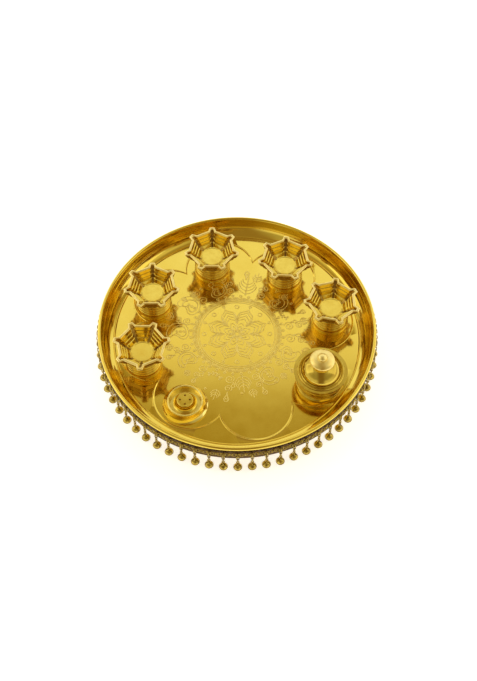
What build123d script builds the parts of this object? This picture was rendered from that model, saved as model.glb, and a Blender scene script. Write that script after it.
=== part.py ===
from build123d import *
import math
import os

# Brass puja thali: a rimmed tray on a foot ring, with a bell fringe and seven lift-off pieces.
# Millimetres, +Z up, origin on the table under the tray's centre, front towards -Y.

# Tray
RIM_R = 152.5  # over the rolled rim
BEAD_R = 2.0  # roll of the rim
SHEET = 1.2  # sheet of the tray
TRAY_DEPTH = 23.2  # rim top to the underside of the floor
FLOOR_R = 135.5  # where the wall's cove meets the flat floor
RING_STEP = 0.4  # small step round the flat floor
PETAL_STEP = 0.6  # depth of the petalled panel
PETAL_COUNT = 8
PETAL_TURN = 12.2  # direction of the first petal, degrees
PETAL_CUSP_R = 103.0  # where two petals meet
PETAL_TIP_R = 133.5  # furthest point of a petal

# Foot ring, a channel with its open side inwards
FOOT_HEIGHT = 22.3
FOOT_R = 119.0
FOOT_FLANGE = 6.0
FOOT_WALL = 1.2

# Fringe band under the rolled rim
BAND_T = 1.0
BAND_DROP = 20.5  # rim top to the band's lower edge
BAND_GAP = 0.3  # between the band and the tray's wall

# Wire links, in the rim chain and in the bell droppers
WIRE = 1.0
LINK_WIDTH = 1.6  # inside width
LINK_PLAY = 0.2  # how far two joined links stand apart
CHAIN_DROP = 10.0  # rim top to the chain's centre line
CHAIN_GAP = 0.3  # between the chain and the band
LINKS_PER_BELL = 4
CHAIN_NODES = 4

# Eyelets that hold the chain
EYELET_WIRE = 0.8
EYELET_R = 1.3  # to the middle of its wire
EYELET_SHANK_R = 0.6

# Bells
BELL_COUNT = 64
BELLS_PER_NODE = 2
BELL_TURN = -89.7  # direction of one bell, degrees
BELL_R = 4.5
BELL_WALL = 0.6
BELL_SEAM = 0.2  # how far the seam stands out
BELL_SEAM_H = 0.8
BELL_SLIT = 0.9
BELL_SLIT_TOP = -0.8  # top of the slits from the bell's centre
BELL_LOOP_R = 1.1  # inside the bell's loop
BELL_LOOP_WIRE = 0.9
BELL_LOOP_RISE = 5.6  # bell centre to loop centre
PELLET_R = 1.5
PELLET_PLAY = 0.05
DROPPER_LINKS = 4
DROPPER_LENGTH = 5.4  # inside length of a dropper link

# Star lamps: place of each on the tray, and the direction of one spout in degrees
LAMPS = [
    (-102.0, -35.2, 115.7),
    (-94.5, 42.8, 91.0),
    (-28.6, 93.5, 90.0),
    (54.6, 80.5, 87.0),
    (104.3, 22.1, 79.0),
]
LAMP_HEIGHT = 36.0
BOWL_DEPTH = 14.5
BOWL_FLOOR = 1.4
SPOUTS = 7
# Star outlines: radius and half angle of a spout's root, then of its tip
BOWL_RIM_OUT = (26.0, 9.6, 31.0, 4.6)
BOWL_RIM_IN = (24.2, 7.2, 28.6, 3.0)
BOWL_FOOT_OUT = (19.6, 13.0, 20.4, 5.0)
BOWL_FOOT_IN = (13.6, 12.0, 14.0, 4.0)
BOWL_TIERS = 3
BOWL_LEDGE = 0.05  # ledge between tiers, as a share of the flare
# Lamp stand
STAND_FOOT_R = 20.8
STAND_FOOT_H = 1.8
STAND_DRUM_R = 18.6
STAND_BEADS = 4
STAND_BEAD_R = 1.4

# Incense stand
INCENSE_PLACE = (-55.0, -88.5)
DISH_R = 24.3
DISH_EDGE = 1.6
DISH_RING_R = 18.2
DISH_RING_H = 10.0
DISH_RING_BEAD = 1.2
DISH_CURVE = (20.6, 5.2)
DISH_FLOOR = 3.5
HOLDER_SKIRT_R = 13.0
HOLDER_SKIRT_EDGE = 0.8
HOLDER_CURVE = (10.0, 6.2)
HOLDER_R = 9.0
HOLDER_SHOULDER = 9.0
HOLDER_RIM = 10.6
HOLDER_TOP = 11.5
HOLDER_ROUND = (8.6, 11.25)
HOLDER_TOP_R = 7.6
SPIGOT_R = 3.0
SPIGOT_LENGTH = 2.2
SPIGOT_CLEAR = 0.1
STICK_R = 1.0
STICK_CIRCLE_R = 5.25
STICK_COUNT = 4
STICK_FLOOR = 4.6

# Kumkum box
BOX_PLACE = (88.7, -61.2)
POT_FOOT_R = 24.5
POT_FOOT_H = 2.0
POT_NECK = (22.5, 4.0)
POT_BELLY = (25.4, 12.0)
POT_RIM_R = 26.0
POT_HEIGHT = 24.5
POT_BORE_R = 20.5
POT_FLOOR = 2.0
POT_BANDS = [0.22, 0.62]  # place of each band along the wall, as a share of its length
POT_BAND_R = 0.9
LID_R = 28.5
LID_FLANGE = 1.5
LID_STEP_R = 24.6
LID_STEP_H = 2.0
LID_DOME_R = 21.0
LID_DOME = (17.2, 34.4)
LID_TOP_R = 7.0
LID_TOP = 40.0
LID_WALL = 1.5
LID_CLEAR = 0.3
LID_SPIGOT = 4.0
KNOB_NECK = (5.6, 41.5)
KNOB_UNDER = [(6.3, 43.0), (11.4, 43.6)]
KNOB_WIDE = (13.3, 46.4)
KNOB_UPPER = [(11.6, 49.6), (9.0, 51.0), (5.0, 51.4)]
KNOB_BUTTON = [(5.5, 52.6), (3.6, 54.0)]
KNOB_TOP = 54.4

# Values that follow
floor_t = SHEET + PETAL_STEP
wall_r = RIM_R - 2 * BEAD_R
rim_top = FOOT_HEIGHT + TRAY_DEPTH
panel_z = FOOT_HEIGHT + SHEET
bead_z = TRAY_DEPTH - BEAD_R
band_in = wall_r + SHEET + BAND_GAP
band_out = band_in + BAND_T
chain_r = band_out + CHAIN_GAP + LINK_WIDTH / 2 + WIRE
chain_z = rim_top - CHAIN_DROP
link_count = BELL_COUNT * LINKS_PER_BELL
link_pitch = 2 * math.pi * chain_r / link_count
wire_drop = (LINK_WIDTH + WIRE) / 2  # chain centre line to a standing link's lower wire
pivot_z = chain_z - wire_drop
pair_count = BELL_COUNT // BELLS_PER_NODE
bell_step = 360 / BELL_COUNT
link_step = 360 / link_count
stand_top = LAMP_HEIGHT - BOWL_DEPTH - BOWL_FLOOR


def polar(radius, degrees):
    angle = math.radians(degrees)
    return (radius * math.cos(angle), radius * math.sin(angle))


def turned(*edges):
    """Solid turned about Z from a profile of radius and height."""
    return revolve(Plane.XZ * make_face(Curve() + list(edges)), Axis.Z)


def cylinder_ring(inner, outer, low, high):
    return turned(Polyline((inner, low), (outer, low), (outer, high), (inner, high), (inner, low)))


def save(name, shapes):
    export_step(shapes[0] if len(shapes) == 1 else Compound(shapes), f"parts/{name}.step")


def make_tray():
    cove = wall_r - FLOOR_R
    ledge_z = floor_t + RING_STEP
    cove_z = ledge_z + cove
    edge_z = ledge_z - SHEET
    low = math.sqrt(0.5)
    shell = turned(
        Polyline((0, 0), (FLOOR_R, 0), (FLOOR_R, edge_z)),
        ThreePointArc(
            (FLOOR_R, edge_z),
            (FLOOR_R + (cove + SHEET) * low, cove_z - (cove + SHEET) * low),
            (wall_r + SHEET, cove_z),
        ),
        Polyline((wall_r + SHEET, cove_z), (wall_r + SHEET, bead_z), (wall_r, bead_z), (wall_r, cove_z)),
        ThreePointArc(
            (wall_r, cove_z), (FLOOR_R + cove * low, cove_z - cove * low), (FLOOR_R, ledge_z)
        ),
        Polyline((FLOOR_R, ledge_z), (FLOOR_R, floor_t), (0, floor_t), (0, 0)),
    )
    bead = Pos(0, 0, bead_z) * Torus(RIM_R - BEAD_R, BEAD_R)
    arcs = []
    half = 180 / PETAL_COUNT
    for i in range(PETAL_COUNT):
        middle = PETAL_TURN + i * 2 * half
        arcs.append(
            ThreePointArc(
                polar(PETAL_CUSP_R, middle - half),
                polar(PETAL_TIP_R, middle),
                polar(PETAL_CUSP_R, middle + half),
            )
        )
    panel = Pos(0, 0, SHEET) * extrude(make_face(Curve() + arcs), TRAY_DEPTH)
    return Pos(0, 0, FOOT_HEIGHT) * ((shell + bead) - panel)


def make_foot_ring():
    inner = FOOT_R - FOOT_FLANGE
    web = FOOT_R - FOOT_WALL
    top = FOOT_HEIGHT - FOOT_WALL
    return turned(
        Polyline(
            (inner, 0),
            (FOOT_R, 0),
            (FOOT_R, FOOT_HEIGHT),
            (inner, FOOT_HEIGHT),
            (inner, top),
            (web, top),
            (web, FOOT_WALL),
            (inner, FOOT_WALL),
            (inner, 0),
        )
    )


def make_band():
    return cylinder_ring(band_in, band_out, rim_top - BAND_DROP, rim_top - 2 * BEAD_R)


def make_link(inner_length):
    """Oval wire link lying flat, long way along X."""
    path = SlotOverall(inner_length + WIRE, LINK_WIDTH + WIRE).face().outer_wire()
    section = Plane(origin=path @ 0, z_dir=path % 0) * Circle(WIRE / 2)
    return sweep(section, path=path)


def make_chain():
    """Links of the rim chain: even ones stand upright, odd ones lie flat."""
    link = make_link(link_pitch + LINK_PLAY)
    links = []
    for k in range(link_count):
        place = Rot(0, 0, BELL_TURN + k * link_step) * Pos(chain_r, 0, chain_z) * Rot(0, 0, 90)
        links.append(place * Rot(90, 0, 0) * link if k % 2 == 0 else place * link)
    return links


def make_eyelets():
    """One eyelet round the upper wire of the standing link between the two bells of a pair."""
    high = chain_z + wire_drop
    inward = chain_r - EYELET_R - band_out
    ring = Pos(chain_r, 0, high) * Rot(90, 0, 0) * Torus(EYELET_R, EYELET_WIRE / 2)
    shank = Pos(band_out, 0, high) * Rot(0, 90, 0) * Cylinder(
        EYELET_SHANK_R, inward, align=(Align.CENTER, Align.CENTER, Align.MIN)
    )
    hull = Pos(0, 0, high) * Cylinder(band_out, 2 * EYELET_WIRE)
    eyelet = (ring + shank) - hull
    first = BELL_TURN + bell_step / 2
    return [Rot(0, 0, first + j * BELLS_PER_NODE * bell_step) * eyelet for j in range(pair_count)]


def make_bell():
    """Round bell with crossed slits below and a loop above, its centre at the origin."""
    inner = BELL_R - BELL_WALL
    seam = Cylinder(BELL_R + BELL_SEAM, BELL_SEAM_H)
    loop = Pos(0, 0, BELL_LOOP_RISE) * Rot(90, 0, 0) * Torus(
        BELL_LOOP_R + BELL_LOOP_WIRE / 2, BELL_LOOP_WIRE / 2
    )
    bell = (Sphere(BELL_R) + seam + loop) - Sphere(inner)
    depth = BELL_R + BELL_SLIT_TOP
    slit = Pos(0, 0, BELL_SLIT_TOP) * Box(
        BELL_SLIT, 4 * BELL_R, depth + BELL_SLIT, align=(Align.CENTER, Align.CENTER, Align.MAX)
    )
    return bell - slit - Rot(0, 0, 90) * slit


def make_bell_pair():
    """Two bells on their droppers, the pair's middle on +X and its hinge line through both pivots."""
    link = Rot(0, 90, 0) * make_link(DROPPER_LENGTH)
    bell = make_bell()
    pellet = Sphere(PELLET_R)
    pitch = DROPPER_LENGTH - LINK_PLAY
    first = WIRE / 2 + LINK_PLAY - DROPPER_LENGTH / 2
    last = first - (DROPPER_LINKS - 1) * pitch
    loop_z = last - DROPPER_LENGTH / 2 + LINK_PLAY - BELL_LOOP_R
    bell_z = loop_z - BELL_LOOP_RISE
    pellet_z = bell_z - (BELL_R - BELL_WALL - PELLET_R - PELLET_PLAY)
    solids = []
    for side in (-1, 1):
        x, y = polar(chain_r, side * bell_step / 2)
        pivot = Pos(x, y, pivot_z)
        for i in range(DROPPER_LINKS):
            turn = Rot(0, 0, 90) if i % 2 == 0 else Rot(0, 0, 0)
            solids.append(pivot * Pos(0, 0, first - i * pitch) * turn * link)
        solids.append(pivot * Pos(0, 0, bell_z) * bell)
        solids.append(pivot * Pos(0, 0, pellet_z) * pellet)
    return solids


def star(low, high, share):
    """Star outline a share of the way from the bowl's foot to its rim."""
    root_r, root_a, tip_r, tip_a = [a + (b - a) * share for a, b in zip(low, high)]
    points = []
    for i in range(SPOUTS):
        middle = i * 360 / SPOUTS
        points.append(polar(root_r, middle - root_a))
        points.append(polar(tip_r, middle - tip_a))
        points.append(polar(tip_r, middle + tip_a))
        points.append(polar(root_r, middle + root_a))
    return make_face(Polyline(*points, close=True))


def star_tiers(low, high, z_low, z_high, ledge):
    """Flared star in tiers, each a ledge wider than the tier below."""
    body = None
    rise = (z_high - z_low) / BOWL_TIERS
    for i in range(BOWL_TIERS):
        start = i / BOWL_TIERS + (ledge if i else 0)
        stop = (i + 1) / BOWL_TIERS
        below = Pos(0, 0, z_low + i * rise) * star(low, high, start)
        above = Pos(0, 0, z_low + (i + 1) * rise) * star(low, high, stop)
        tier = loft([below, above], ruled=True)
        body = tier if body is None else body + tier
    return body


def make_bowl():
    """Star bowl, its underside at the top of the stand."""
    outside = star_tiers(BOWL_FOOT_OUT, BOWL_RIM_OUT, stand_top, LAMP_HEIGHT, BOWL_LEDGE)
    inside = star_tiers(BOWL_FOOT_IN, BOWL_RIM_IN, stand_top + BOWL_FLOOR, LAMP_HEIGHT, BOWL_LEDGE)
    return outside - inside


def make_stand():
    """Drum on a flange, with even beads round it."""
    base = (Align.CENTER, Align.CENTER, Align.MIN)
    body = Cylinder(STAND_DRUM_R, stand_top, align=base) + Cylinder(STAND_FOOT_R, STAND_FOOT_H, align=base)
    pitch = (stand_top - STAND_FOOT_H) / STAND_BEADS
    for i in range(STAND_BEADS):
        body += Pos(0, 0, STAND_FOOT_H + (i + 0.5) * pitch) * Torus(STAND_DRUM_R, STAND_BEAD_R)
    return body


def make_dish():
    shoulder = DISH_RING_H - DISH_RING_BEAD
    ring_in = DISH_RING_R - DISH_RING_BEAD
    ring_out = DISH_RING_R + DISH_RING_BEAD
    socket_r = SPIGOT_R + SPIGOT_CLEAR
    socket_z = DISH_FLOOR - SPIGOT_LENGTH - SPIGOT_CLEAR
    return turned(
        Polyline((0, 0), (DISH_R, 0), (DISH_R, DISH_EDGE)),
        ThreePointArc((DISH_R, DISH_EDGE), DISH_CURVE, (ring_out, shoulder)),
        ThreePointArc((ring_out, shoulder), (DISH_RING_R, DISH_RING_H), (ring_in, shoulder)),
        Polyline(
            (ring_in, shoulder),
            (ring_in, DISH_FLOOR),
            (socket_r, DISH_FLOOR),
            (socket_r, socket_z),
            (0, socket_z),
            (0, 0),
        ),
    )


def make_holder():
    skirt_z = DISH_FLOOR + HOLDER_SKIRT_EDGE
    low = DISH_FLOOR - SPIGOT_LENGTH
    body = turned(
        Polyline(
            (0, low),
            (SPIGOT_R, low),
            (SPIGOT_R, DISH_FLOOR),
            (HOLDER_SKIRT_R, DISH_FLOOR),
            (HOLDER_SKIRT_R, skirt_z),
        ),
        ThreePointArc((HOLDER_SKIRT_R, skirt_z), HOLDER_CURVE, (HOLDER_R, HOLDER_SHOULDER)),
        Line((HOLDER_R, HOLDER_SHOULDER), (HOLDER_R, HOLDER_RIM)),
        ThreePointArc((HOLDER_R, HOLDER_RIM), HOLDER_ROUND, (HOLDER_TOP_R, HOLDER_TOP)),
        Polyline((HOLDER_TOP_R, HOLDER_TOP), (0, HOLDER_TOP), (0, low)),
    )
    bore = Cylinder(STICK_R, HOLDER_TOP, align=(Align.CENTER, Align.CENTER, Align.MIN))
    for i in range(STICK_COUNT):
        x, y = polar(STICK_CIRCLE_R, 90 + i * 360 / STICK_COUNT)
        body -= Pos(x, y, STICK_FLOOR) * bore
    return body


def make_pot():
    wall = Spline(POT_NECK, POT_BELLY, (POT_RIM_R, POT_HEIGHT))
    body = turned(
        Polyline((0, 0), (POT_FOOT_R, 0), (POT_FOOT_R, POT_FOOT_H), POT_NECK),
        wall,
        Polyline(
            (POT_RIM_R, POT_HEIGHT),
            (POT_BORE_R, POT_HEIGHT),
            (POT_BORE_R, POT_FLOOR),
            (0, POT_FLOOR),
            (0, 0),
        ),
    )
    for share in POT_BANDS:
        centre = wall @ share
        body += Pos(0, 0, centre.Y) * Torus(centre.X, POT_BAND_R)
    return body


def make_lid():
    """Hollow lid in its place on the pot."""
    flange_top = POT_HEIGHT + LID_FLANGE
    step_top = flange_top + LID_STEP_H
    spigot_r = POT_BORE_R - LID_CLEAR
    spigot_in = spigot_r - LID_WALL
    spigot_z = POT_HEIGHT - LID_SPIGOT
    roof = LID_TOP - LID_WALL
    return turned(
        Polyline(
            (spigot_in, spigot_z),
            (spigot_r, spigot_z),
            (spigot_r, POT_HEIGHT),
            (LID_R, POT_HEIGHT),
            (LID_R, flange_top),
            (LID_STEP_R, flange_top),
            (LID_STEP_R, step_top),
            (LID_DOME_R, step_top),
        ),
        ThreePointArc((LID_DOME_R, step_top), LID_DOME, (LID_TOP_R, LID_TOP)),
        Polyline((LID_TOP_R, LID_TOP), (0, LID_TOP), (0, roof), (LID_TOP_R - LID_WALL, roof)),
        ThreePointArc(
            (LID_TOP_R - LID_WALL, roof),
            (LID_DOME[0] - LID_WALL, LID_DOME[1] - LID_WALL),
            (spigot_in, step_top),
        ),
        Line((spigot_in, step_top), (spigot_in, spigot_z)),
    )


def make_knob():
    """Mushroom knob with a button, in its place on the lid."""
    return turned(
        Line((0, LID_TOP), (LID_TOP_R, LID_TOP)),
        ThreePointArc((LID_TOP_R, LID_TOP), KNOB_NECK, KNOB_UNDER[0]),
        Line(*KNOB_UNDER),
        ThreePointArc(KNOB_UNDER[1], KNOB_WIDE, KNOB_UPPER[0]),
        ThreePointArc(*KNOB_UPPER),
        ThreePointArc(KNOB_UPPER[2], *KNOB_BUTTON),
        Polyline(KNOB_BUTTON[1], (0, KNOB_TOP), (0, LID_TOP)),
    )


os.makedirs("parts", exist_ok=True)

save("tray", [make_tray()])
save("foot_ring", [make_foot_ring()])
save("fringe_band", [make_band()])
save("chain_eyelets", make_eyelets())

chain = make_chain()
share = link_count // CHAIN_NODES
for i in range(CHAIN_NODES):
    save(f"rim_chain_{i + 1}", chain[i * share : (i + 1) * share])

pair = make_bell_pair()
for j in range(pair_count):
    turn = Rot(0, 0, BELL_TURN + bell_step / 2 + j * BELLS_PER_NODE * bell_step)
    save(f"bell_pair_{j + 1:02d}", [turn * solid for solid in pair])

bowl = make_bowl()
stand = make_stand()
for i, (x, y, turn) in enumerate(LAMPS):
    save(f"lamp_bowl_{i + 1}", [Pos(x, y, panel_z) * Rot(0, 0, turn) * bowl])
    save(f"lamp_stand_{i + 1}", [Pos(x, y, panel_z) * stand])

incense = Pos(*INCENSE_PLACE, panel_z)
save("incense_dish", [incense * make_dish()])
save("incense_holder", [incense * make_holder()])

box = Pos(*BOX_PLACE, panel_z)
save("kumkum_pot", [box * make_pot()])
save("kumkum_lid", [box * make_lid()])
save("kumkum_knob", [box * make_knob()])
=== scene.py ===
import math

import bpy
from mathutils import Matrix, Vector


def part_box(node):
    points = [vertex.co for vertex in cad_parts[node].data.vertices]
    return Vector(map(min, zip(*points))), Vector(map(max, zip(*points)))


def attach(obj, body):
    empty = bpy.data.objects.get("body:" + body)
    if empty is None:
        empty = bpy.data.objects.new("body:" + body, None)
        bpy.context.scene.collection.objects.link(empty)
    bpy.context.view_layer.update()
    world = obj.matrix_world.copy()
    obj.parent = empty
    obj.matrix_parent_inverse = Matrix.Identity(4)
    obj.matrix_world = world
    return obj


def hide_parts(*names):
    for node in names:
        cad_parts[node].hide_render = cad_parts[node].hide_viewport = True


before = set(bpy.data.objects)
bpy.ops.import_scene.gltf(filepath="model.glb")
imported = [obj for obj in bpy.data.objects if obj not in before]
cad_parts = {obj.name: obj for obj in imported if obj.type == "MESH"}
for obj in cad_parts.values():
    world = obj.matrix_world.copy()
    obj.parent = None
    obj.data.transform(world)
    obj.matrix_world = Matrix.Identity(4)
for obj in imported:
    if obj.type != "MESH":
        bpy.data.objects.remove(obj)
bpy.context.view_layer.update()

# A brass puja thali in its studio. Sizes are in millimetres, turned to metres where a piece is made.

MM = 0.001
NEAR = 0.01  # points closer than this count as one
FULL_TURN = 2 * math.pi

# Places taken from the frame
tray_low, tray_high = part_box("tray")
rim_z = tray_high.z / MM
tray_z = tray_low.z / MM
rim_r = tray_high.x / MM

# Tray
BEAD_R = 2.0
SHEET = 1.2
FLOOR_R = 135.5
LINE_R = 135.0
FLOOR_T = 1.8
RING_STEP = 0.4
RING_RIDGE = 0.5
RING_CREST = (1.2, 0.5)  # outer and inner edge of the ridge's flat top, out from the floor's edge
COVE_END = -82  # direction, in degrees, at which the cove runs into the ridge
PETAL_RIDGE = 0.22
PETAL_EDGE = (-1.3, -0.6, 0.2, 1.8, 4.0)  # how far the lines of the panel's edge lie in from its outline
PETAL_COUNT = 8
PETAL_TURN = 12.2
PETAL_CUSP_R = 103.0
PETAL_TIP_R = 132.6
PETAL_GAP = 0.3
TRAY_STEPS = 256

panel_z = tray_z + SHEET

# Star lamps, and the direction of one spout of each in degrees
SPOUTS = 7
SPOUT_TURNS = [115.7, 91.0, 90.0, 87.0, 79.0]
LAMP_HEIGHT = 36.0
BOWL_DEPTH = 14.5
BOWL_FLOOR = 1.4
# Star outlines: radius and half angle of a spout's root, then of its tip
RIM_OUT = (26.0, 9.6, 31.0, 4.6)
RIM_IN = (24.2, 6.0, 28.6, 3.0)
FOOT_OUT = (19.6, 13.0, 20.4, 5.0)
FOOT_IN = (13.6, 10.0, 14.0, 5.0)
LIP_OUT = (26.5, 9.8, 31.5, 4.8)
LIP_IN = (23.8, 5.8, 28.2, 2.8)
RIM_ROUND = 1.1
RIM_STEPS = 6
OUTER_TIERS = 3
INNER_TIERS = 4
LEDGE = 0.34  # share of a tier's flare that lies flat
SPOUT_HALF = 4.0  # half angle, from the middle of a spout, that the painted shade covers
BOSS_R = 12.9
BOSS_HEIGHT = 0.6
BOSS_RING = 1.1
STAND_FOOT_R = 20.8
STAND_FOOT_H = 1.8
STAND_DRUM_R = 18.6
STAND_BEADS = 4
STAND_BEAD_R = 1.4
stand_top = LAMP_HEIGHT - BOWL_DEPTH - BOWL_FLOOR

# Incense dish, from the middle of its base out and over its lip: radius and height over the tray's floor.
# A round stretch is given by its centre, radius, first and last direction and steps.
DISH_BASE = [(0, 0), (24.3, 0), (24.3, 1.6)]
DISH_FLARE = ((31.0, 11.6), 11.9, 236, 194, 10)
DISH_LIP = ((18.2, 8.8), 1.2, 0, 180, 10)
DISH_WELL = [(17.0, 3.5), (3.1, 3.5), (3.1, 1.2), (0, 1.2)]

# Kumkum box, its lid and its knob, given in the same way, an oval stretch with two radii
POT_FOOT = [(0, 0), (24.5, 0), (24.5, 2.0), (22.5, 4.0), (23.2, 5.6), (24.4, 7.6)]
POT_LOWER_BEAD = ((25.3, 8.5), 0.9, -90, 90, 8)
POT_WALL = [(25.2, 9.6), (25.4, 12.0), (25.7, 16.0)]
POT_UPPER_BEAD = ((25.4, 17.0), 0.9, -60, 60, 8)
POT_MOUTH = [(25.9, 18.4), (26.0, 24.5), (20.5, 24.5), (20.5, 2.0), (0, 2.0)]
LID_INSIDE = [(0, 38.5), (5.5, 38.5), (9.6, 37.2), (13.2, 35.6), (16.1, 33.7), (17.8, 31.4), (18.7, 28.0)]
LID_FLANGE = [(18.7, 20.5), (20.2, 20.5), (20.2, 24.5), (28.5, 24.5), (28.5, 26.0), (25.2, 26.0)]
LID_BEAD = ((23.8, 26.6), 1.4, -20, 180, 8)
LID_SHOULDER = [(21.2, 27.4), (20.6, 29.4), (19.4, 31.8)]
LID_DOME = [(17.2, 34.6), (14.0, 37.2), (10.4, 39.1), (7.0, 40.0), (0, 40.0)]
KNOB_NECK = [(0, 40.0), (7.0, 40.0), (6.2, 40.8), (6.0, 41.6), (6.6, 42.2)]
KNOB_BUN = ((0, 46.4), (13.3, 5.2), -55, 64, 18)
KNOB_GROOVE = [(5.2, 50.7)]
KNOB_BUTTON = ((0, 51.4), (4.7, 3.0), -10, 90, 10)

# Fringe band, rim chain and bells
BAND_IN = 150.0
BAND_T = 1.0
BAND_DROP = 22.6
WIRE = 1.0
LINK_WIDTH = 1.6
LINK_PLAY = 0.2
CHAIN_DROP = 10.0
CHAIN_R = 153.1
BELL_COUNT = 64
LINKS_PER_BELL = 4
BELL_TURN = -89.7
BELL_R = 4.5
BELL_SEAM = 0.3
BELL_SLIT_WIDTH = 0.9
BELL_SLIT_LENGTH = 3 * BELL_R
BELL_SLIT_DEPTH = 5.0
BELL_SLIT_DROP = 3.6  # from the bell's centre down to the middle of the slits' depth
BELL_LOOP_R = 1.55
BELL_LOOP_WIRE = 0.9
BELL_LOOP_RISE = 5.6
DROPPER_LINKS = 4
DROPPER_LENGTH = 5.4
DROPPER_WIRE = 1.25

# Engraving on the tray's floor
ENGRAVE_CENTRE = (0.0, 1.5)
LINE_WIDTH = 1.25
LINE_TOP = 0.75
LINE_HEIGHT = 0.14
# Each line lies a little lower than the one before, and falls a little along its way,
# so that no two tops share a plane where lines cross
LINE_SINK = 0.004
LINE_SINKS = 12
LINE_FALL = 0.02
MEDALLION_RINGS = (44.6, 42.4, 2.6)
LOTUS_PETALS = 8
LOTUS_SCALES = (1.12, 1.01, 0.86, 0.72)
LACE_R = 45.6
LACE_COUNT = 36
BORDER_R = 53.4
OUTER_FERNS = [(10.0, 72.0), (8.0, 70.0), (12.0, 74.0)]  # length, and distance from the middle
OUTER_ROUNDS = 4
OUTER_TURN = 103

# Studio
TABLE_LIFT = 0.7  # glow that makes the table white to the camera and in reflections
# Colours of the light tent from front to back, of the slit that the camera looks through, and low down
TENT = [(0.0, "#b0a582"), (0.30, "#b8ad88"), (0.46, "#e2d6b0"), (0.58, "#d4c69c"), (0.70, "#a28c4c"),
        (0.738, "#b09c5a"), (0.765, "#fdf6e0"), (0.80, "#fffdf6")]
SLIT = "#987f52"
SLIT_EDGES = (0.12, 0.42)
HORIZON = "#f4ead0"
HORIZON_EDGES = (0.2, 0.55)
# Softboxes beside the table, in metres, and their watts
SOFTBOXES = [("left softbox", (-1.5, 0.4, 1.2), 5), ("right softbox", (1.5, 0.3, 1.1), 4)]
SOFTBOX_SIZE = 1.6
SOFTBOX_AIM = (0, 0, 0.04)

# Camera, as the photo was taken
CAMERA_DISTANCE = 1100.0
CAMERA_RISE = 56.5
FOCAL_PIXELS = 1004.3
IMAGE_HEIGHT = 681
IMAGE_CENTRE = (238.5, 340.5)
RIM_CENTRE_PIXEL = (237.03, 324.2)
SENSOR = 36.0


def deselect():
    if bpy.context.mode != "OBJECT":
        bpy.ops.object.mode_set(mode="OBJECT")
    bpy.ops.object.select_all(action="DESELECT")


def metres(*lengths):
    return tuple(length * MM for length in lengths)


def polar(radius, degrees):
    angle = math.radians(degrees)
    return (radius * math.cos(angle), radius * math.sin(angle))


def arc(centre, radius, start, stop, steps):
    """Points on an arc of a profile, in degrees from the outward direction."""
    points = []
    for i in range(steps + 1):
        x, z = polar(radius, start + (stop - start) * i / steps)
        points.append((centre[0] + x, centre[1] + z))
    return points


def oval(centre, radii, start, stop, steps):
    """Points on an oval of a profile."""
    circle = arc((0, 0), 1.0, start, stop, steps)
    return [(x * radii[0] + centre[0], z * radii[1] + centre[1]) for x, z in circle]


def start_point(name, point):
    """A new piece in edit mode, holding one point."""
    deselect()
    bpy.ops.mesh.primitive_plane_add(size=MM)
    piece = bpy.context.object
    piece.name = name
    bpy.ops.object.mode_set(mode="EDIT")
    bpy.ops.mesh.select_mode(type="VERT")
    bpy.ops.mesh.select_all(action="SELECT")
    bpy.ops.mesh.merge(type="CENTER")
    bpy.ops.transform.translate(value=metres(*point))
    return piece


def draw(points):
    """Draws a line from the selected point, the first of the points, through the others."""
    for a, b in zip(points, points[1:]):
        move = [(q - p) * MM for p, q in zip(a, b)]
        bpy.ops.mesh.extrude_vertices_move(TRANSFORM_OT_translate={"value": move})


def close_mesh():
    bpy.ops.mesh.select_all(action="SELECT")
    bpy.ops.mesh.remove_doubles(threshold=NEAR * MM)
    bpy.ops.mesh.normals_make_consistent(inside=False)
    bpy.ops.mesh.select_all(action="DESELECT")


def turned(name, profile, place, steps=96, start=0.0):
    """Lathe work: a profile of radius and height, spun about an upright axis through the place."""
    x, y, z = place
    across, side = polar(1.0, start)
    points = [(x + r * across, y + r * side, z + h) for r, h in profile]
    piece = start_point(name, points[0])
    draw(points)
    bpy.ops.mesh.select_all(action="SELECT")
    bpy.ops.mesh.spin(steps=steps, angle=FULL_TURN, center=metres(x, y, z), axis=(0, 0, 1))
    close_mesh()
    bpy.ops.object.mode_set(mode="OBJECT")
    return piece


def finish_edges(piece, width, segments=3, angle=28):
    """Rounds the sharp edges and smooths the rest."""
    deselect()
    piece.select_set(True)
    bpy.context.view_layer.objects.active = piece
    bpy.ops.object.shade_smooth()
    bevel = piece.modifiers.new("rounded edges", "BEVEL")
    bevel.width = width * MM
    bevel.segments = segments
    bevel.limit_method = "ANGLE"
    bevel.angle_limit = math.radians(angle)
    bevel.harden_normals = True
    bpy.ops.object.modifier_apply(modifier=bevel.name)


def settle(piece, body, slot, material, *nodes):
    """Puts a finished piece on its body in place of the CAD nodes it stands for."""
    piece.data.materials.clear()
    piece.data.materials.append(material)
    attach(piece, body)
    if nodes:
        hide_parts(*nodes)


def join(pieces, name):
    deselect()
    for piece in pieces:
        piece.select_set(True)
    bpy.context.view_layer.objects.active = pieces[0]
    bpy.ops.object.join()
    pieces[0].name = name
    return pieces[0]


def copy_of(piece, matrix):
    """A copy with its own mesh, its place in its points."""
    copy = piece.copy()
    copy.data = piece.data.copy()
    copy.data.transform(matrix)
    bpy.context.scene.collection.objects.link(copy)
    return copy


# Materials

def linear(hex_colour):
    """An sRGB hex colour as linear red, green, blue and alpha."""
    channels = []
    for i in (1, 3, 5):
        c = int(hex_colour[i:i + 2], 16) / 255
        channels.append(c / 12.92 if c <= 0.04045 else ((c + 0.055) / 1.055) ** 2.4)
    return (*channels, 1.0)


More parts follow.
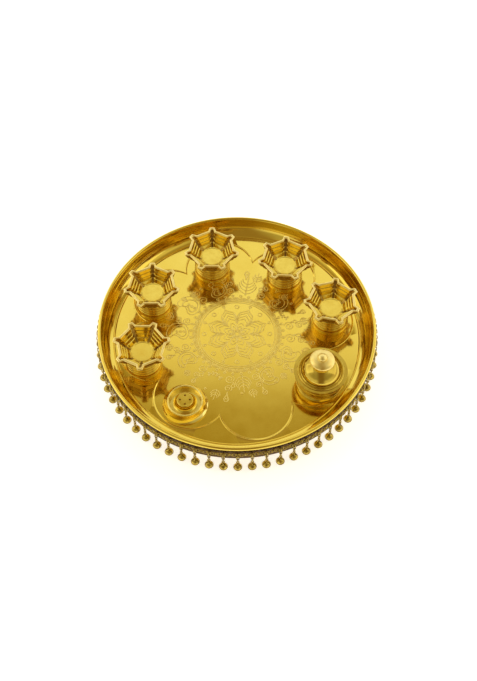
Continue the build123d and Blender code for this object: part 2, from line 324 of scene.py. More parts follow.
def add(tree, kind, sockets=None, stops=None, **settings):
    """Adds a node with its settings, sets or links its input sockets, and fills its colour ramp."""
    node = tree.nodes.new(kind)
    for name, value in settings.items():
        setattr(node, name, value)
    for name, value in (sockets or {}).items():
        if isinstance(value, bpy.types.NodeSocket):
            tree.links.new(value, node.inputs[name])
        else:
            node.inputs[name].default_value = value
    for i, (position, colour) in enumerate(stops or []):
        elements = node.color_ramp.elements
        element = elements[i] if i < len(elements) else elements.new(position)
        element.position, element.color = position, colour
    return node


def new_material(name):
    material = bpy.data.materials.new(name)
    material.use_nodes = True
    material.node_tree.nodes.clear()
    return material, material.node_tree


def grey(value):
    return (value, value, value, 1.0)


def brass(name, bright, deep, gloss, dull, cloud_mm, mark_mm, mark_height):
    """Brass whose colour and gloss drift in soft clouds, under fine polishing marks.

    The clouds go from the deep colour to the bright one and from the glossy roughness to the dull one.
    """
    material, tree = new_material(name)
    coords = add(tree, "ShaderNodeTexCoord").outputs["Object"]
    clouds = add(tree, "ShaderNodeTexNoise", {
        "Vector": coords, "Scale": 1 / (cloud_mm * MM), "Detail": 4.0, "Roughness": 0.6})
    marks = add(tree, "ShaderNodeTexNoise", {
        "Vector": coords, "Scale": 1 / (mark_mm * MM), "Detail": 3.0, "Roughness": 0.7})
    drift = clouds.outputs["Fac"]
    colour = add(tree, "ShaderNodeValToRGB", {"Fac": drift}, [(0.3, linear(deep)), (0.65, linear(bright))])
    haze = add(tree, "ShaderNodeValToRGB", {"Fac": drift}, [(0.35, grey(gloss)), (0.75, grey(dull))])
    bump = add(tree, "ShaderNodeBump", {
        "Height": marks.outputs["Fac"], "Strength": 1.0, "Distance": mark_height * MM})
    shader = add(tree, "ShaderNodeBsdfPrincipled", {
        "Base Color": colour.outputs["Color"], "Metallic": 1.0,
        "Roughness": haze.outputs["Color"], "Normal": bump.outputs["Normal"]})
    add(tree, "ShaderNodeOutputMaterial", {"Surface": shader.outputs["BSDF"]})
    return material


# Buffed sheet brass: a near mirror, pale gold, a little cloudy from handling
sheet_brass = brass("buffed sheet brass", "#f4d964", "#ebcd56", 0.08, 0.14, 45.0, 1.2, 0.0004)
# Polished cast brass: a little deeper in colour than the sheet, with small dull clouds
cast_brass = brass("polished cast brass", "#f0d662", "#e2c250", 0.08, 0.16, 9.0, 0.8, 0.001)
# Lacquered brass: the kumkum box, a shade deeper than the rest
lacquered_brass = brass("lacquered brass", "#d6bc52", "#c4a644", 0.08, 0.16, 9.0, 0.8, 0.001)
# Spun brass: the incense dish, glossy and a little paler than the castings
spun_brass = brass("spun brass", "#fae88c", "#f2da78", 0.10, 0.18, 9.0, 0.8, 0.001)
# Engraved brass: cut lines, matt, so that they keep one tone over bright and dark reflections
engraved_brass = brass("engraved brass", "#ffe988", "#f6d970", 0.30, 0.38, 4.0, 0.4, 0.001)
# Painted highlight: a paler, rougher brass on the lamps' rims and the lid's knob, standing in for the
# bright light that they catch
highlight_brass = brass("painted highlight brass", "#ffec9c", "#f6da80", 0.30, 0.40, 7.0, 0.7, 0.002)
# Antique brass: browned in small patches, and bright between them
antique_brass = brass("antique brass", "#cfb75c", "#80682e", 0.06, 0.16, 3.2, 0.6, 0.001)
# Strip brass: the strip behind the chain, matt with a rough grain, and its dark brown colour is painted
# shade under the rim and behind the chain
shaded_strip_brass = brass("shaded strip brass", "#765418", "#2a1a06", 0.40, 0.60, 1.6, 0.9, 0.06)
# Painted shade: darker brass in the middle of the spouts, where shade falls in their narrow ends
spout_shade_brass = brass("spout shade brass", "#b48e40", "#84642a", 0.18, 0.32, 6.0, 0.6, 0.004)
# Painted shade: browner, duller brass on the downward-facing outsides of the lamp bowls, where they face
# away from the light
underside_shade_brass = brass("underside shade brass", "#c8a450", "#a8843c", 0.22, 0.32, 9.0, 0.8, 0.004)


# Tray

def tray_profile():
    """From the underside's middle out, up the wall, over the rolled rim and down to the ring line."""
    cove = rim_r - 2 * BEAD_R - FLOOR_R
    ledge = tray_z + FLOOR_T + RING_STEP
    centre = (FLOOR_R, ledge + cove)
    bead = (rim_r - BEAD_R, rim_z - BEAD_R)
    wall_out = rim_r - 2 * BEAD_R + SHEET
    tuck = math.degrees(math.asin((bead[0] - wall_out) / BEAD_R))
    points = [(0, tray_z), (FLOOR_R, tray_z), (FLOOR_R, ledge - SHEET)]
    points += arc(centre, cove + SHEET, -90, 0, 14)[1:]
    points += arc(bead, BEAD_R, -90 - tuck, 180, 20)
    points += arc(centre, cove, 0, COVE_END, 14)
    points += [(FLOOR_R + out, ledge + RING_RIDGE) for out in RING_CREST]
    return points + [(LINE_R, tray_z + FLOOR_T)]


def petal_radius(degrees):
    """Distance from the tray's middle to the petals' outline, a ring of equal arcs."""
    half = 180 / PETAL_COUNT
    cusp_out = polar(PETAL_CUSP_R, half)[0]
    centre = (PETAL_CUSP_R**2 - PETAL_TIP_R**2) / (2 * (cusp_out - PETAL_TIP_R))
    across, side = polar(centre, (degrees - PETAL_TURN + half) % (2 * half) - half)
    return across + math.sqrt((PETAL_TIP_R - centre)**2 - side**2)


def make_tray():
    """Spun shell, with the petalled panel drawn into its floor."""
    tray = turned("tray_shell", tray_profile(), (0, 0, 0), TRAY_STEPS, PETAL_TURN - 180 / PETAL_COUNT)
    bpy.ops.object.mode_set(mode="EDIT")
    bpy.ops.mesh.select_mode(type="EDGE")
    bpy.ops.mesh.select_non_manifold(extend=False, use_wire=False, use_boundary=True,
                                     use_multi_face=False, use_non_contiguous=False, use_verts=False)
    floor = tray_z + FLOOR_T
    crest = floor + PETAL_RIDGE
    for inset, height in zip(PETAL_EDGE, (floor, crest, crest, panel_z, panel_z)):
        bpy.ops.mesh.extrude_region_move(TRANSFORM_OT_translate={"value": (0, 0, 0)})
        bpy.ops.object.mode_set(mode="OBJECT")
        for vertex in tray.data.vertices:
            if vertex.select:
                degrees = math.degrees(math.atan2(vertex.co.y, vertex.co.x))
                radius = min(petal_radius(degrees) - inset, LINE_R - PETAL_GAP)
                vertex.co = metres(*polar(radius, degrees), height)
        bpy.ops.object.mode_set(mode="EDIT")
    bpy.ops.mesh.edge_face_add()
    close_mesh()
    bpy.ops.object.mode_set(mode="OBJECT")
    finish_edges(tray, 0.35, segments=2, angle=20)
    settle(tray, "tray_body", "polished_brass", sheet_brass, "tray")


# Engraving, drawn as strokes of points in millimetres

def loop(centre, radius, steps=40):
    spokes = [polar(radius, 360 * i / steps) for i in range(steps + 1)]
    return [(centre[0] + x, centre[1] + y) for x, y in spokes]


def placed(stroke, radius, degrees, scale=1.0):
    """A stroke drawn with +Y outwards, moved to a radius and direction."""
    a = math.radians(degrees - 90)
    ox, oy = polar(radius, degrees)
    ca, sa = math.cos(a) * scale, math.sin(a) * scale
    return [(ox + x * ca - y * sa, oy + x * sa + y * ca) for x, y in stroke]


def bezier(points, steps=14):
    """A smooth stroke through quadratic curves: an end, a handle, an end, a handle and so on."""
    line = [points[0]]
    for a, h, b in zip(points[0::2], points[1::2], points[2::2]):
        for i in range(1, steps + 1):
            t = i / steps
            line.append(tuple((1 - t)**2 * p + 2 * t * (1 - t) * q + t**2 * r for p, q, r in zip(a, h, b)))
    return line


def mirrored(stroke):
    return [(-x, y) for x, y in stroke]


def ogee(width, length):
    """A pointed petal with waisted shoulders."""
    side = bezier([(0, 0), (width, length * 0.1), (width, length * 0.5),
                   (width * 0.95, length * 0.8), (0, length)])
    return side + mirrored(side)[::-1]


def drop(width, length):
    """A seed, round at its outer end."""
    side = bezier([(0, 0), (width * 0.2, length * 0.45), (width, length * 0.68),
                   (width * 0.9, length), (0, length)])
    return side + mirrored(side)[::-1]


def fern(length, pairs):
    """A stem with pairs of curved leaves, the lower ones longer."""
    strokes = [[(0, 0), (0, length)]]
    for i in range(pairs):
        y = length * (0.08 + 0.66 * i / pairs)
        reach = length * (0.40 - 0.22 * i / pairs)
        leaf = bezier([(0, y), (reach * 0.9, y + reach * 0.2), (reach, y + reach * 1.1)], 8)
        strokes += [leaf, mirrored(leaf)]
    return strokes


def paisley(length):
    """A bent drop with an echo line, a row of seeds and a curl at its point."""
    outer = bezier([(0, 0), (length * 0.62, length * 0.05), (length * 0.55, length * 0.55),
                    (length * 0.48, length * 0.95), (length * 0.02, length * 0.98),
                    (-length * 0.2, length * 0.95), (-length * 0.16, length * 0.78)])
    back = bezier([(-length * 0.16, length * 0.78), (length * 0.08, length * 0.62),
                   (-length * 0.2, length * 0.38), (-length * 0.38, length * 0.12), (0, 0)])
    inner = [(x * 0.66 + length * 0.05, y * 0.66 + length * 0.12) for x, y in outer + back]
    seeds = [loop((length * 0.12, length * (0.22 + 0.15 * i)), length * 0.045, 10) for i in range(3)]
    return [outer + back, inner] + seeds


def curl(radius, turns, hand):
    """A spiral scroll that opens outwards."""
    steps = int(18 * turns)
    line = []
    for i in range(steps + 1):
        t = i / steps
        x, y = polar(radius * (0.18 + 0.82 * t), hand * 360 * turns * t)
        line.append((x, y + radius))
    return line


def scroll_pair(radius):
    """Two spirals, the outer one smaller, with a leaf between them."""
    upper = [(x, y + 2.3 * radius) for x, y in curl(radius * 0.78, 1.6, -1)]
    leaf = [(x - radius * 0.9, y + radius * 1.5) for x, y in drop(radius * 0.35, radius * 1.3)]
    return [curl(radius, 1.7, 1), upper, leaf]


def garland(width):
    """A hanging row of small scallops with seeds."""
    strokes = []
    for i in range(4):
        x = width * (i - 1.5) / 4
        y = 2.6 * abs(i - 1.5)
        for radius in (width / 8, width / 13):
            strokes.append([(x + px, y + py) for px, py in (polar(radius, a) for a in range(0, 181, 20))])
        strokes.append(loop((x, y + width / 8 + 1.6), 0.9, 8))
    return strokes


def lotus(scale):
    """Outline of pointed petals that meet in notches, each side drawn as direction and radius."""
    half = 180 / LOTUS_PETALS
    side = bezier([(-half, 18.5), (-17.5, 25.4), (-12.0, 26.6), (-5.0, 27.4), (0.0, 31.0)], 7)
    outline = []
    for i in range(LOTUS_PETALS):
        for degrees, radius in side + mirrored(side)[::-1]:
            outline.append(polar(radius * scale, half + 2 * half * i + degrees))
    return outline + outline[:1]


def medallion():
    """Ringed lotus of echoing pointed petals in the middle of the floor."""
    strokes = [loop((0, 0), radius, 96) for radius in MEDALLION_RINGS]
    strokes += [lotus(scale) for scale in LOTUS_SCALES]
    half = 180 / LOTUS_PETALS
    for i in range(LOTUS_PETALS):
        turn = half + 2 * half * i
        strokes.append(placed(ogee(3.6, 12.0), 3.4, turn))
        strokes.append(placed(ogee(1.6, 6.0), 4.8, turn))
        strokes.append(placed(loop((0, 0), 2.2, 14), 36.4, turn + half))
        strokes.append(placed(drop(1.4, 4.2), 36.2, turn))
    return strokes


def lace():
    """Two rows of scallops and seeds round the medallion."""
    strokes = []
    for i in range(LACE_COUNT):
        turn = 360 * i / LACE_COUNT
        for radius in (3.9, 2.5):
            strokes.append(placed([polar(radius, a) for a in range(0, 181, 18)], LACE_R, turn))
        strokes.append(placed(loop((0, 0.9), 0.8, 8), LACE_R, turn))
        strokes.append(placed(drop(1.3, 4.2), LACE_R + 3.0, turn + 180 / LACE_COUNT))
    return strokes


def border():
    """Ferns, paisleys, scrolls and garlands out from the lace."""
    layout = [
        (fern(27.0, 4), 80), (scroll_pair(5.2), 97), (paisley(24.0), 113), (scroll_pair(6.0), 130),
        (paisley(27.0), 147), (scroll_pair(5.0), 163), (paisley(26.0), 180), (scroll_pair(5.4), 197),
        (paisley(22.0), 214), (scroll_pair(5.0), 230), (garland(17.0), 246), (scroll_pair(5.6), 262),
        (fern(22.0, 4), 276), (scroll_pair(5.2), 290), (paisley(23.0), 305), (scroll_pair(5.0), 321),
        (paisley(22.0), 338), (scroll_pair(6.0), 354), (scroll_pair(5.6), 10), (garland(16.0), 27),
        (paisley(22.0), 44), (scroll_pair(5.4), 62)]
    strokes = []
    for motif, turn in layout:
        strokes += [placed(stroke, BORDER_R, turn) for stroke in motif]
    ferns = OUTER_FERNS * OUTER_ROUNDS
    for i, (length, reach) in enumerate(ferns):
        turn = OUTER_TURN + 360 / len(ferns) * i
        strokes += [placed(stroke, reach, turn, 0.8) for stroke in fern(length * 1.4, 3)]
        strokes.append(placed(drop(2.6, length), reach + 1.0, turn + 9))
        strokes.append(placed(drop(1.4, length * 0.6), reach + 2.6, turn + 9))
        strokes.append(placed(loop((0, 0), 1.1, 8), reach + 4.0, turn - 9))
    return strokes


def line_profile():
    """Section of an engraved line's burr: a flat top and sloping sides."""
    curve = bpy.data.curves.new("line_profile", "CURVE")
    spline = curve.splines.new("POLY")
    half, top = LINE_WIDTH / 2, LINE_TOP / 2
    section = ((-top, LINE_HEIGHT), (top, LINE_HEIGHT), (half, 0), (-half, 0))
    spline.points.add(len(section) - 1)
    for point, (x, y) in zip(spline.points, section):
        point.co = (*metres(x, y, 0), 1.0)
    spline.use_cyclic_u = True
    profile = bpy.data.objects.new("line_profile", curve)
    bpy.context.scene.collection.objects.link(profile)
    return profile


def make_engraving():
    """Each stroke is a low flat ridge, as the burr of an engraved line stands on sheet brass."""
    deselect()
    profile = line_profile()
    curve = bpy.data.curves.new("floor_engraving", "CURVE")
    curve.dimensions = "3D"
    curve.twist_mode = "Z_UP"
    curve.bevel_mode = "OBJECT"
    curve.bevel_object = profile
    cx, cy = ENGRAVE_CENTRE
    for number, stroke in enumerate(medallion() + lace() + border()):
        spline = curve.splines.new("POLY")
        spline.points.add(len(stroke) - 1)
        height = panel_z - LINE_SINK * (number % LINE_SINKS)
        for i, (x, y) in enumerate(stroke):
            fall = LINE_FALL * i / len(stroke)
            spline.points[i].co = (*metres(cx + x, cy + y, height - fall), 1.0)
    lines = bpy.data.objects.new("floor_engraving", curve)
    bpy.context.scene.collection.objects.link(lines)
    lines.select_set(True)
    bpy.context.view_layer.objects.active = lines
    bpy.ops.object.convert(target="MESH")
    bpy.data.objects.remove(profile)
    settle(lines, "tray_body", "polished_brass", engraved_brass)


# Star lamps

def blend(low, high, share):
    return [a + (b - a) * share for a, b in zip(low, high)]


def round_star(radius):
    """A circle, written as a star whose points are evenly spaced."""
    step = 90 / SPOUTS
    return (radius, 1.5 * step, radius, 0.5 * step)


def star_outline(star, turn):
    root_r, root_a, tip_r, tip_a = star
    points = []
    for i in range(SPOUTS):
        middle = turn + i * 360 / SPOUTS
        for radius, degrees in ((root_r, -root_a), (tip_r, -tip_a), (tip_r, tip_a), (root_r, root_a)):
            points.append(polar(radius, middle + degrees))
    return points


def tiers(low, high, z_low, z_high, count):
    """Stars of a flare, from the bottom up: each tier rises and widens, then steps out on a ledge."""
    levels = []
    for i in range(count):
        start = (i + (LEDGE if i else 0)) / count
        stop = (i + 1) / count
        levels.append((blend(low, high, start), z_low + (z_high - z_low) * i / count))
        levels.append((blend(low, high, stop), z_low + (z_high - z_low) * stop))
    return levels


def bowl_levels():
    """Stars and heights: up the outside, over the rounded rim, down the inside to a low round boss."""
    shoulder = LAMP_HEIGHT - RIM_ROUND
    floor = stand_top + BOWL_FLOOR
    levels = tiers(FOOT_OUT, RIM_OUT, stand_top, shoulder, OUTER_TIERS)
    for i in range(RIM_STEPS + 1):
        angle = math.pi * i / RIM_STEPS
        star = blend(LIP_OUT, LIP_IN, (1 - math.cos(angle)) / 2)
        levels.append((star, shoulder + RIM_ROUND * math.sin(angle)))
    levels += reversed(tiers(FOOT_IN, RIM_IN, floor, shoulder, INNER_TIERS))
    high = floor + BOSS_HEIGHT
    plate = high - BOSS_HEIGHT / 2
    boss = ((0, floor), (1 / 3, high), (1, high), (1.4, plate), (3, plate))
    return levels + [(round_star(BOSS_R - inset * BOSS_RING), height) for inset, height in boss]


def raise_to(piece, outline, centre, turn):
    """Extrudes the selected face and sets its corners, in order round the centre, on an outline."""
    bpy.ops.mesh.extrude_region_move(TRANSFORM_OT_translate={"value": (0, 0, 0)})
    bpy.ops.object.mode_set(mode="OBJECT")
    first = math.radians(turn - 180 / SPOUTS)
    corners = [vertex for vertex in piece.data.vertices if vertex.select]
    corners.sort(key=lambda v: (math.atan2(v.co.y - centre[1], v.co.x - centre[0]) - first) % FULL_TURN)
    for corner, point in zip(corners, outline):
        corner.co = metres(*point)
    bpy.ops.object.mode_set(mode="EDIT")


def make_bowl(index, place, turn):
    """Star bowl: stepped facets inside and out, a rounded rim and a round boss on its floor."""
    x, y, z = place
    outlines = []
    for star, height in bowl_levels():
        outlines.append([(x + px, y + py, z + height) for px, py in star_outline(star, turn)])
    bowl = start_point(f"star_bowl_{index}", outlines[0][0])
    draw(outlines[0])
    bpy.ops.mesh.select_all(action="SELECT")
    bpy.ops.mesh.edge_face_add()
    for outline in outlines[1:]:
        raise_to(bowl, outline, metres(x, y), turn)
    close_mesh()
    bpy.ops.object.mode_set(mode="OBJECT")
    finish_edges(bowl, 0.25, segments=2, angle=24)
    settle(bowl, f"lamp_{index}", "polished_brass", cast_brass, f"lamp_bowl_{index}")
    paint_bowl_highlight_and_shade(bowl, place, turn)


def in_spout(face, centre, turn):
    """True of a face that lies in the middle of a spout."""
    out = face.center.xy - Vector(centre)
    degrees = math.degrees(math.atan2(out.y, out.x)) - turn
    aside = abs((degrees + 180 / SPOUTS) % (360 / SPOUTS) - 180 / SPOUTS)
    return aside < SPOUT_HALF and out.length > BOSS_R * MM


def paint_bowl_highlight_and_shade(bowl, place, turn):
    """Paints a highlight on the rim, and shade on the downward-facing outsides, which are also duller, and
    in the middle of the spouts.
    """
    x, y, z = place
    for material in (highlight_brass, spout_shade_brass, underside_shade_brass):
        bowl.data.materials.append(material)
    rim = metres(z + LAMP_HEIGHT - RIM_ROUND)[0]
    # The rim gets a painted highlight; the downward-facing outsides and the middles of the spouts get
    # painted shade
    for face in bowl.data.polygons:
        if face.center.z > rim:
            face.material_index = 1
        elif face.normal.z < 0:
            face.material_index = 3
        elif in_spout(face, metres(x, y), turn):
            face.material_index = 2


def make_stand(index, place):
    """Turned stand: a drum on a flange, with even beads round it."""
    profile = [(0, 0), (STAND_FOOT_R, 0), (STAND_FOOT_R, STAND_FOOT_H), (STAND_DRUM_R, STAND_FOOT_H)]
    pitch = (stand_top - STAND_FOOT_H) / STAND_BEADS
    for i in range(STAND_BEADS):
        middle = (STAND_DRUM_R, STAND_FOOT_H + (i + 0.5) * pitch)
        profile += arc(middle, STAND_BEAD_R, -90, 90, 8)
    profile += [(STAND_DRUM_R, stand_top), (0, stand_top)]
    stand = turned(f"star_stand_{index}", profile, place)
    finish_edges(stand, 0.3, segments=2)
    settle(stand, f"lamp_{index}", "polished_brass", cast_brass, f"lamp_stand_{index}")


def make_lamps():
    for index, turn in enumerate(SPOUT_TURNS, 1):
        low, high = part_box(f"lamp_stand_{index}")
        place = ((low.x + high.x) / 2 / MM, (low.y + high.y) / 2 / MM, low.z / MM)
        make_stand(index, place)
        make_bowl(index, place, turn)


# Incense stand and kumkum box

def middle_of(node):
    low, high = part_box(node)
    return ((low.x + high.x) / 2 / MM, (low.y + high.y) / 2 / MM)


def make_incense_stand():
    """Dish with a flared side, a round lip and a well that the holder stands in."""
    place = (*middle_of("incense_dish"), panel_z)
    profile = DISH_BASE + arc(*DISH_FLARE) + arc(*DISH_LIP) + DISH_WELL
    dish = turned("incense_saucer", profile, place)
    finish_edges(dish, 0.4)
    settle(dish, "incense_stand", "polished_brass", spun_brass, "incense_dish")


def make_kumkum_box():
    """Ringed pot, a domed lid with a spigot, and the lid's knob."""
    place = (*middle_of("kumkum_pot"), panel_z)
    pot_profile = POT_FOOT + arc(*POT_LOWER_BEAD) + POT_WALL + arc(*POT_UPPER_BEAD) + POT_MOUTH
    pot = turned("kumkum_jar", pot_profile, place)
    finish_edges(pot, 0.35)
    settle(pot, "kumkum_box", "polished_brass", lacquered_brass, "kumkum_pot")
    lid_profile = LID_INSIDE + LID_FLANGE + arc(*LID_BEAD) + LID_SHOULDER + LID_DOME
    lid = turned("kumkum_cap", lid_profile, place, steps=128)
    finish_edges(lid, 0.4)
    settle(lid, "kumkum_cover", "polished_brass", lacquered_brass, "kumkum_lid")
    knob_profile = KNOB_NECK + oval(*KNOB_BUN) + KNOB_GROOVE + oval(*KNOB_BUTTON)
    knob = turned("kumkum_finial", knob_profile, place)
    finish_edges(knob, 0.3, segments=2, angle=35)
    # The knob gets the paler brass as a painted highlight
    settle(knob, "kumkum_cover", "polished_brass", highlight_brass, "kumkum_knob")


# Chain and bells

def add_ring(radius, wire_radius, segments):
    """Plain ring lying flat round the origin."""
    deselect()
    bpy.ops.mesh.primitive_torus_add(major_segments=segments, minor_segments=6, major_radius=radius * MM,
                                     minor_radius=wire_radius * MM)
    bpy.ops.object.shade_smooth()
    return bpy.context.object


def make_link(name, inner_length, wire):
    """Oval wire link lying flat, long way along X: a ring parted and drawn out."""
    link = add_ring((LINK_WIDTH + wire) / 2, wire / 2, 12)
    link.name = name
    stretch = (inner_length - LINK_WIDTH) / 2
    for vertex in link.data.vertices:
        if abs(vertex.co.x) > NEAR * MM:
            vertex.co.x += math.copysign(stretch * MM, vertex.co.x)
    return link


def around(degrees):
    return Matrix.Rotation(math.radians(degrees), 4, "Z")


def make_band():
    """Upright strip under the rolled rim, behind the chain."""
    low, high, outer = rim_z - BAND_DROP, rim_z - 2 * BEAD_R, BAND_IN + BAND_T
    profile = [(BAND_IN, low), (outer, low), (outer, high), (BAND_IN, high), (BAND_IN, low)]
    band = turned("fringe_strip", profile, (0, 0, 0), TRAY_STEPS)
    finish_edges(band, 0.25, segments=2)
    # The strip's dark brown colour is painted shade
    settle(band, "tray_body", "antique_brass", shaded_strip_brass, "fringe_band")


def make_chain():
    """Closed chain of links, by turns upright and lying, in four quarters."""
    count = BELL_COUNT * LINKS_PER_BELL
    pitch = FULL_TURN * CHAIN_R / count
    link = make_link("chain_link", pitch + LINK_PLAY, WIRE)
    height = Matrix.Translation(metres(CHAIN_R, 0, rim_z - CHAIN_DROP)) @ around(90)
    upright = Matrix.Rotation(math.radians(90), 4, "X")
    share = count // 4
    for quarter in range(4):
        links = []
        for k in range(quarter * share, (quarter + 1) * share):
            place = around(BELL_TURN + k * 360 / count) @ height
            links.append(copy_of(link, place @ upright if k % 2 == 0 else place))
        chain = join(links, f"fringe_chain_{quarter + 1}")
        settle(chain, "tray_body", "antique_brass", antique_brass, f"rim_chain_{quarter + 1}")
    bpy.data.objects.remove(link)


def cut_slit(bell, degrees):
    """Cuts one slit right across the underside of a bell."""
    deselect()
    bpy.ops.mesh.primitive_cube_add(size=MM, location=metres(0, 0, -BELL_SLIT_DROP),
                                    rotation=(0, 0, math.radians(degrees)))
    cutter = bpy.context.object
    cutter.scale = (BELL_SLIT_WIDTH, BELL_SLIT_LENGTH, BELL_SLIT_DEPTH)
    slit = bell.modifiers.new("slit", "BOOLEAN")
    slit.object = cutter
    slit.solver = "EXACT"
    deselect()
    bpy.context.view_layer.objects.active = bell
    bpy.ops.object.modifier_apply(modifier=slit.name)
    bpy.data.objects.remove(cutter)


def make_bell():
    """Round bell with a seam, crossed slits below and a loop above, its centre at the origin."""
    deselect()
    bpy.ops.mesh.primitive_uv_sphere_add(segments=24, ring_count=16, radius=BELL_R * MM)
    bell = bpy.context.object
    bpy.ops.object.shade_smooth()
    for degrees in (0, 90):
        cut_slit(bell, degrees)
    seam = add_ring(BELL_R, BELL_SEAM, 24)
    ring = add_ring(BELL_LOOP_R, BELL_LOOP_WIRE / 2, 14)
    upright = Matrix.Rotation(math.radians(90), 4, "X")
    ring.data.transform(Matrix.Translation(metres(0, 0, BELL_LOOP_RISE)) @ upright)
    return join([bell, seam, ring], "bell")


def make_bells():
    """Bells on their droppers, hung from every fourth chain link and swinging two by two."""
    bell = make_bell()
    links = [make_link("dropper_link", DROPPER_LENGTH, wire) for wire in (WIRE, DROPPER_WIRE)]
    tall = Matrix.Rotation(math.radians(90), 4, "Y")
    pitch = DROPPER_LENGTH - LINK_PLAY
    first = WIRE / 2 + LINK_PLAY - DROPPER_LENGTH / 2
    last = first - (DROPPER_LINKS - 1) * pitch
    bell_z = last - DROPPER_LENGTH / 2 + LINK_PLAY - (BELL_LOOP_R - BELL_LOOP_WIRE / 2) - BELL_LOOP_RISE
    pivot_z = rim_z - CHAIN_DROP - (LINK_WIDTH + WIRE) / 2
    step = 360 / BELL_COUNT
    for pair in range(BELL_COUNT // 2):
        middle = around(BELL_TURN + step / 2 + pair * 2 * step)
        pieces = []
        for side in (-1, 1):
            pivot = middle @ Matrix.Translation(metres(*polar(CHAIN_R, side * step / 2), pivot_z))
            for i in range(DROPPER_LINKS):
                turn = around(90) if i % 2 == 0 else around(0)
                drop_to = Matrix.Translation(metres(0, 0, first - i * pitch))
                pieces.append(copy_of(links[i % 2], pivot @ drop_to @ turn @ tall))
            pieces.append(copy_of(bell, pivot @ Matrix.Translation(metres(0, 0, bell_z))))
        bells = join(pieces, f"hung_bells_{pair + 1:02d}")
        settle(bells, f"bells_{pair + 1:02d}", "antique_brass", antique_brass, f"bell_pair_{pair + 1:02d}")
    for pattern in [bell, *links]:
        bpy.data.objects.remove(pattern)


def dress_cad():
    """Nodes whose solids are right keep them and get their finish."""
    finishes = {"foot_ring": sheet_brass, "incense_holder": cast_brass, "chain_eyelets": antique_brass}
    for node, material in finishes.items():
        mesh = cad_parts[node].data
        mesh.materials.clear()
        mesh.materials.append(material)


# Table, light and camera

def make_table():
    """White table that shows the object's shadow."""
    deselect()
    bpy.ops.mesh.primitive_plane_add(size=30.0)
    table = bpy.context.object
    table.name = "table"
    material, tree = new_material("white table")
    rays = add(tree, "ShaderNodeLightPath")
    kinds = ("Camera", "Glossy", "Transmission")
    camera, glossy, clear = [rays.outputs[f"Is {kind} Ray"] for kind in kinds]
    seen = add(tree, "ShaderNodeMath", {0: camera, 1: glossy}, operation="MAXIMUM")
    shown = add(tree, "ShaderNodeMath", {0: seen.outputs[0], 1: clear}, operation="MAXIMUM")
    lift = add(tree, "ShaderNodeMath", {0: shown.outputs[0], 1: TABLE_LIFT}, operation="MULTIPLY")
    paper = add(tree, "ShaderNodeBsdfDiffuse", {"Color": linear("#f4f4f4")})
    glow = add(tree, "ShaderNodeEmission", {"Color": (1, 1, 1, 1), "Strength": lift.outputs[0]})
    both = add(tree, "ShaderNodeAddShader", {0: paper.outputs[0], 1: glow.outputs[0]})
    add(tree, "ShaderNodeOutputMaterial", {"Surface": both.outputs[0]})
    table.data.materials.append(material)


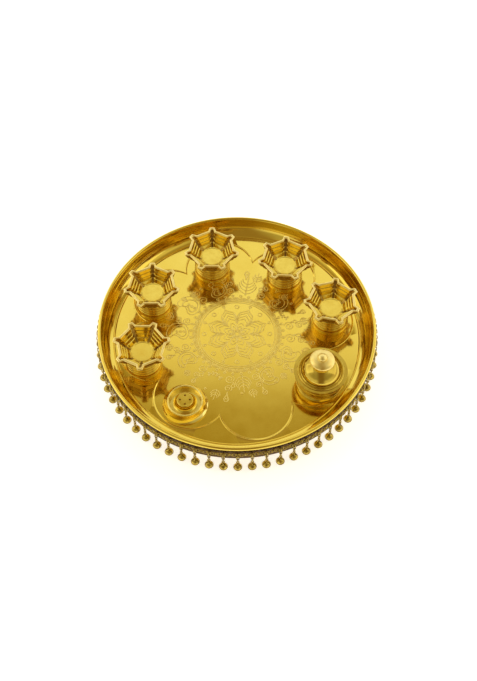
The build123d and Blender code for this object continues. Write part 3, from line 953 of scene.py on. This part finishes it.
def make_studio():
    """A light tent, bright behind, dimmer towards the front, with a dark slit overhead for the camera."""
    world = bpy.context.scene.world or bpy.data.worlds.new("studio")
    bpy.context.scene.world = world
    world.use_nodes = True
    tree = world.node_tree
    tree.nodes.clear()
    direction = add(tree, "ShaderNodeTexCoord").outputs["Generated"]
    axes = add(tree, "ShaderNodeSeparateXYZ", {"Vector": direction})
    depth = add(tree, "ShaderNodeMapRange", {"Value": axes.outputs["Y"], "From Min": -1.0, "From Max": 1.0})
    stops = [(position, linear(colour)) for position, colour in TENT]
    tent = add(tree, "ShaderNodeValToRGB", {"Fac": depth.outputs["Result"]}, stops)
    rise = add(tree, "ShaderNodeMapRange", {
        "Value": axes.outputs["Z"], "From Min": HORIZON_EDGES[0], "From Max": HORIZON_EDGES[1]},
        interpolation_type="SMOOTHSTEP")
    cloth = add(tree, "ShaderNodeMixRGB", {
        "Fac": rise.outputs["Result"], "Color1": linear(HORIZON), "Color2": tent.outputs["Color"]})
    aside = add(tree, "ShaderNodeMath", {0: axes.outputs["X"]}, operation="ABSOLUTE")
    away = add(tree, "ShaderNodeMath", {0: aside.outputs[0], 1: axes.outputs["Y"]}, operation="MAXIMUM")
    clear = add(tree, "ShaderNodeMapRange", {
        "Value": away.outputs[0], "From Min": SLIT_EDGES[0], "From Max": SLIT_EDGES[1]},
        interpolation_type="SMOOTHSTEP")
    lining = add(tree, "ShaderNodeMixRGB", {
        "Fac": clear.outputs["Result"], "Color1": linear(SLIT), "Color2": cloth.outputs["Color"]})
    rays = add(tree, "ShaderNodeLightPath")
    shade = add(tree, "ShaderNodeMixRGB", {
        "Fac": rays.outputs["Is Camera Ray"], "Color1": lining.outputs["Color"], "Color2": (1, 1, 1, 1)})
    sky = add(tree, "ShaderNodeBackground", {"Color": shade.outputs["Color"], "Strength": 1.0})
    add(tree, "ShaderNodeOutputWorld", {"Surface": sky.outputs[0]})


def make_softboxes():
    for name, place, watts in SOFTBOXES:
        light = bpy.data.lights.new(name, "AREA")
        light.shape = "SQUARE"
        light.size = SOFTBOX_SIZE
        light.energy = watts
        softbox = bpy.data.objects.new(name, light)
        softbox.location = place
        aim = Vector(SOFTBOX_AIM) - Vector(place)
        softbox.rotation_euler = aim.to_track_quat("-Z", "Y").to_euler()
        bpy.context.scene.collection.objects.link(softbox)


def make_camera():
    """Looks down at the rim's centre, as the photo was taken."""
    camera = bpy.data.cameras.new("camera")
    camera.sensor_fit = "VERTICAL"
    camera.sensor_height = SENSOR
    camera.lens = FOCAL_PIXELS / IMAGE_HEIGHT * SENSOR
    camera.shift_x = (IMAGE_CENTRE[0] - RIM_CENTRE_PIXEL[0]) / IMAGE_HEIGHT
    camera.shift_y = (RIM_CENTRE_PIXEL[1] - IMAGE_CENTRE[1]) / IMAGE_HEIGHT
    camera.clip_end = 50
    holder = bpy.data.objects.new("camera", camera)
    out, up = polar(CAMERA_DISTANCE, CAMERA_RISE)
    holder.location = metres(0, -out, rim_z + up)
    holder.rotation_euler = (math.radians(90 - CAMERA_RISE), 0, 0)
    bpy.context.scene.collection.objects.link(holder)
    bpy.context.scene.camera = holder


make_tray()
make_engraving()
make_lamps()
make_incense_stand()
make_kumkum_box()
make_band()
make_chain()
make_bells()
dress_cad()

make_table()
make_studio()
make_softboxes()
make_camera()
bpy.context.scene.view_settings.view_transform = "Standard"
